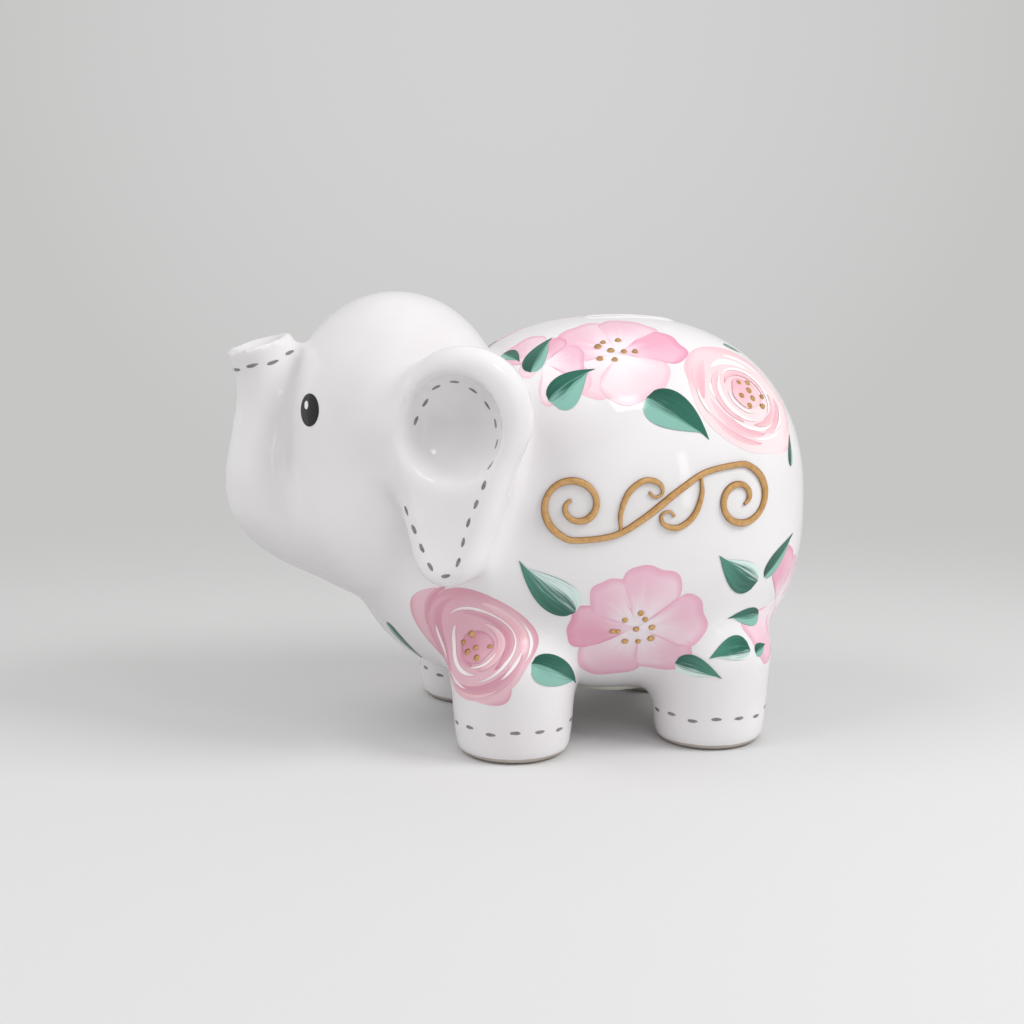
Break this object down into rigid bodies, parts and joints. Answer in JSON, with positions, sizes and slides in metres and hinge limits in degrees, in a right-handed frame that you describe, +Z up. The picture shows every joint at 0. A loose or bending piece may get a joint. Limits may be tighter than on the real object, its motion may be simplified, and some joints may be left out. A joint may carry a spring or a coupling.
{
  "type": "money bank",
  "caption": "Hollow glazed ceramic elephant money bank with a coin slot in its back and a rubber stopper in its belly.",
  "frame": {"origin": "on the standing surface, under the middle of the bank's overall box", "axes": "+Z up, the elephant faces -Y, its left side is +X"},
  "size_m": [0.1298, 0.2179, 0.1629],
  "materials": {
    "glaze": "glossy clear glaze over white earthenware",
    "gold": "raised slip line under metallic gold lustre",
    "stopper_rubber": "satin soft rubber"
  },
  "bodies": {
    "bank": {"torso": "glaze", "head": "glaze", "trunk": "glaze", "ear_left": "glaze", "ear_right": "glaze", "leg_front_left": "glaze", "leg_front_right": "glaze", "leg_rear_left": "glaze", "leg_rear_right": "glaze", "tail": "glaze", "gold_flourish": "gold"},
    "plug": {"stopper": "stopper_rubber"}
  },
  "joints": [
    {"name": "stopper_pull", "type": "slide", "parent": "bank", "child": "plug", "axis": [0, 0, -1], "range_m": [0, 0.0126]}
  ]
}
